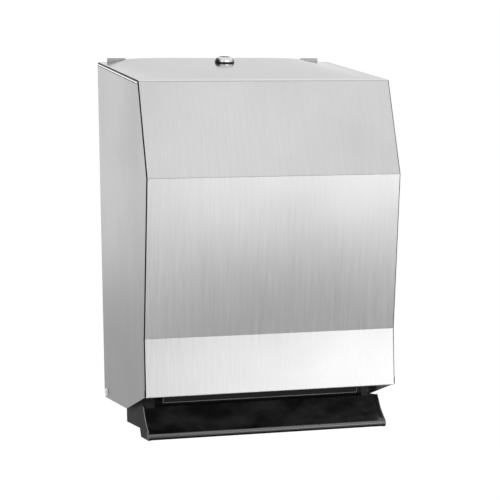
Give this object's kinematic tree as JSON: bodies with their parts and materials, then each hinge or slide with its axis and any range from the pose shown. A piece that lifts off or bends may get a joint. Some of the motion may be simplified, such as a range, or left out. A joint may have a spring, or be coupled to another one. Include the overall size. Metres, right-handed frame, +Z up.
{
  "type": "roll towel dispenser",
  "caption": "Wall-mounted roll towel dispenser: folded satin steel cover with a top lock, black push lever, geared feed rollers, tear blade and spring-loaded roll arms",
  "frame": {"origin": "centre of the four wall screw holes, on the wall plane", "axes": "+Z up, +Y into the wall, -Y is the front of the dispenser, +X to the right as seen from the front"},
  "size_m": [0.2802, 0.2314, 0.4093],
  "materials": {
    "satin_steel": "satin brushed, fine upright grain",
    "black_paint": "semi-matt black powder coat",
    "black_lever": "moulded black, soft sheen",
    "zinc_plate": "bright zinc plate",
    "chrome_plate": "polished plate",
    "bright_rivet": "bright",
    "shaft_steel": "ground",
    "spring_steel": "drawn wire",
    "blade_steel": "ground stainless",
    "white_nylon": "natural moulded",
    "black_nylon": "moulded black",
    "grey_rubber": "ground matt"
  },
  "bodies": {
    "wall": {"wall_plate": "zinc_plate", "lock_catch": "zinc_plate", "catch_rivets": "zinc_plate", "pivot_rivets": "bright_rivet", "pivot_washers": "white_nylon", "left_side_frame": "black_paint", "right_side_frame": "black_paint", "frame_screws": "zinc_plate", "lever_shaft": "shaft_steel", "lever_snap_rings": "spring_steel", "shaft_spacers": "white_nylon", "feed_bushes": "white_nylon", "anti_reverse_clutch": "black_nylon", "yoke_rod": "shaft_steel", "tie_rod": "zinc_plate", "spring_posts": "zinc_plate", "tear_plate": "black_paint", "tear_blade": "blade_steel", "blade_rivets": "bright_rivet", "tear_plate_screws": "zinc_plate", "paper_guide": "black_paint", "guide_screws": "zinc_plate", "arm_hinge_pins": "shaft_steel", "left_arm_spring": "spring_steel", "right_arm_spring": "spring_steel", "yoke_spring": "spring_steel", "lever_return_spring": "spring_steel"},
    "cover": {"cover_wrap": "satin_steel", "left_side_panel": "satin_steel", "right_side_panel": "satin_steel", "lock_barrel": "chrome_plate", "lock_washer": "zinc_plate", "lock_nut": "zinc_plate"},
    "lock": {"lock_plug": "chrome_plate", "lock_cam": "zinc_plate", "cam_screw": "zinc_plate"},
    "lever": {"push_lever": "black_lever", "lever_bushes": "white_nylon", "sector_gear": "white_nylon", "sector_screws": "zinc_plate"},
    "pinion": {"drive_pinion": "white_nylon", "one_way_clutch": "shaft_steel"},
    "feed_roller": {"feed_shaft": "shaft_steel", "feed_core": "black_nylon", "feed_sleeves": "grey_rubber", "feed_snap_rings": "spring_steel"},
    "yoke": {"pressure_yoke": "black_paint"},
    "pressure_roller": {"pressure_shaft": "shaft_steel", "pressure_sleeves": "grey_rubber"},
    "left_arm": {"left_roll_arm": "black_paint", "left_hub_pin": "shaft_steel"},
    "right_arm": {"right_roll_arm": "black_paint", "right_hub_pin": "shaft_steel"},
    "left_hub": {"left_core_hub": "black_nylon"},
    "right_hub": {"right_core_hub": "black_nylon"}
  },
  "joints": [
    {"name": "cover_hinge", "type": "hinge", "parent": "wall", "child": "cover", "pos_m": [0, -0.0176, -0.1915], "axis": [1, 0, 0], "range_deg": [0, 90]},
    {"name": "lock_turn", "type": "hinge", "parent": "cover", "child": "lock", "pos_m": [0, -0.04414, 0.17797], "axis": [0, -0.1792, 0.9838], "range_deg": [0, 90]},
    {"name": "lever_push", "type": "hinge", "parent": "wall", "child": "lever", "pos_m": [0, -0.122, -0.082], "axis": [1, 0, 0], "range_deg": [0, 28], "stiffness_Nm_per_rad": 0.6, "springref_deg": -28.65, "deforming": ["lever_return_spring"]},
    {"name": "pinion_spin", "type": "hinge", "parent": "wall", "child": "pinion", "pos_m": [0, -0.17718, -0.145], "axis": [1, 0, 0], "range_deg": [-208, 2]},
    {"name": "feed_roller_spin", "type": "hinge", "parent": "wall", "child": "feed_roller", "pos_m": [0, -0.17718, -0.145], "axis": [1, 0, 0], "continuous": true},
    {"name": "yoke_swing", "type": "hinge", "parent": "wall", "child": "yoke", "pos_m": [0, -0.132, -0.108], "axis": [1, 0, 0], "range_deg": [0, 8], "stiffness_Nm_per_rad": 0.4, "springref_deg": -34.38, "deforming": ["yoke_spring"]},
    {"name": "pressure_roller_spin", "type": "hinge", "parent": "yoke", "child": "pressure_roller", "pos_m": [0, -0.14678, -0.145], "axis": [1, 0, 0], "continuous": true},
    {"name": "left_arm_spread", "type": "hinge", "parent": "wall", "child": "left_arm", "pos_m": [-0.121, -0.117, -0.056], "axis": [0, -1, 0], "range_deg": [0, 5.5], "stiffness_Nm_per_rad": 1.2, "springref_deg": -28.65, "deforming": ["left_arm_spring"]},
    {"name": "right_arm_spread", "type": "hinge", "parent": "wall", "child": "right_arm", "pos_m": [0.121, -0.117, -0.056], "axis": [0, 1, 0], "range_deg": [0, 5.5], "stiffness_Nm_per_rad": 1.2, "springref_deg": -28.65, "deforming": ["right_arm_spring"]},
    {"name": "left_hub_spin", "type": "hinge", "parent": "left_arm", "child": "left_hub", "pos_m": [-0.114, -0.117, 0.052], "axis": [1, 0, 0], "continuous": true},
    {"name": "right_hub_spin", "type": "hinge", "parent": "right_arm", "child": "right_hub", "pos_m": [0.114, -0.117, 0.052], "axis": [1, 0, 0], "continuous": true}
  ],
  "couplings": [
    {"joint": "pinion_spin", "follows": "lever_push", "ratio": -7.375},
    {"joint": "pressure_roller_spin", "follows": "feed_roller_spin", "ratio": -1.7273}
  ]
}
